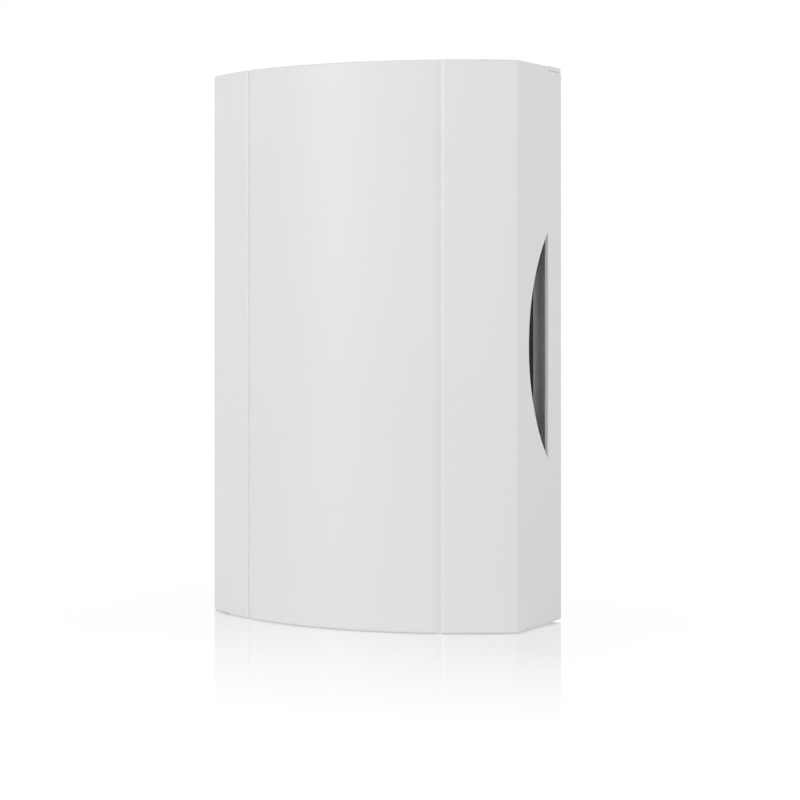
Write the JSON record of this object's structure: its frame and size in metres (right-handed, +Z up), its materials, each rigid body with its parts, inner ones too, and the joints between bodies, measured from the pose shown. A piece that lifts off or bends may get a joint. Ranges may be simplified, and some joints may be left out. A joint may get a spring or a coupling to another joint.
{
  "type": "wired door chime",
  "caption": "Wall door chime: white box with a bowed, grooved cover, side sound openings, and a solenoid plunger that strikes tuned steel bars.",
  "frame": {"origin": "centre of the back face, in the plane of the wall", "axes": "+Z up the wall, +X to the viewer's right, +Y into the wall; the front faces -Y"},
  "size_m": [0.12, 0.055, 0.19],
  "materials": {
    "white_abs": "fine satin moulded white ABS",
    "grey_abs": "satin moulded dark grey ABS",
    "bar_steel": "bright plated spring steel, cut edges duller",
    "pin_steel": "bright zinc plate",
    "zinc_steel": "bright zinc plate",
    "core_steel": "turned soft iron",
    "spring_steel": "drawn stainless wire",
    "black_rubber": "matt black rubber",
    "natural_nylon": "natural nylon",
    "enamelled_copper": "close-wound enamelled copper wire",
    "coil_tape": "yellow polyester film tape",
    "terminal_plastic": "natural polyamide",
    "terminal_brass": "turned brass",
    "lead_red": "red PVC sleeve",
    "lead_black": "black PVC sleeve"
  },
  "bodies": {
    "base": {"base": "white_abs", "chassis": "grey_abs", "chassis_screws": "zinc_steel", "tone_bar_high": "bar_steel", "tone_bar_low": "bar_steel", "grommet_high_upper": "black_rubber", "grommet_high_lower": "black_rubber", "grommet_low_upper": "black_rubber", "grommet_low_lower": "black_rubber", "bar_pin_high_upper": "pin_steel", "bar_pin_high_lower": "pin_steel", "bar_pin_low_upper": "pin_steel", "bar_pin_low_lower": "pin_steel", "solenoid_yoke": "zinc_steel", "solenoid_bobbin": "natural_nylon", "coil_winding": "enamelled_copper", "coil_tape": "coil_tape", "return_spring": "spring_steel", "terminal_block": "terminal_plastic", "terminal_tubes": "terminal_brass", "terminal_screws": "zinc_steel", "terminal_block_screw": "zinc_steel", "lead_supply": "lead_red", "lead_return": "lead_black"},
    "cover": {"front_cover": "white_abs"},
    "plunger": {"plunger_core": "core_steel", "striker_high": "natural_nylon", "striker_low": "natural_nylon"}
  },
  "joints": [
    {"name": "plunger_slide", "type": "slide", "parent": "base", "child": "plunger", "axis": [1, 0, 0], "range_m": [-0.0014, 0.0084], "stiffness_N_per_m": 20, "deforming": ["return_spring"]},
    {"name": "cover_off", "type": "slide", "parent": "base", "child": "cover", "axis": [0, -1, 0], "range_m": [0, 0.07]}
  ]
}
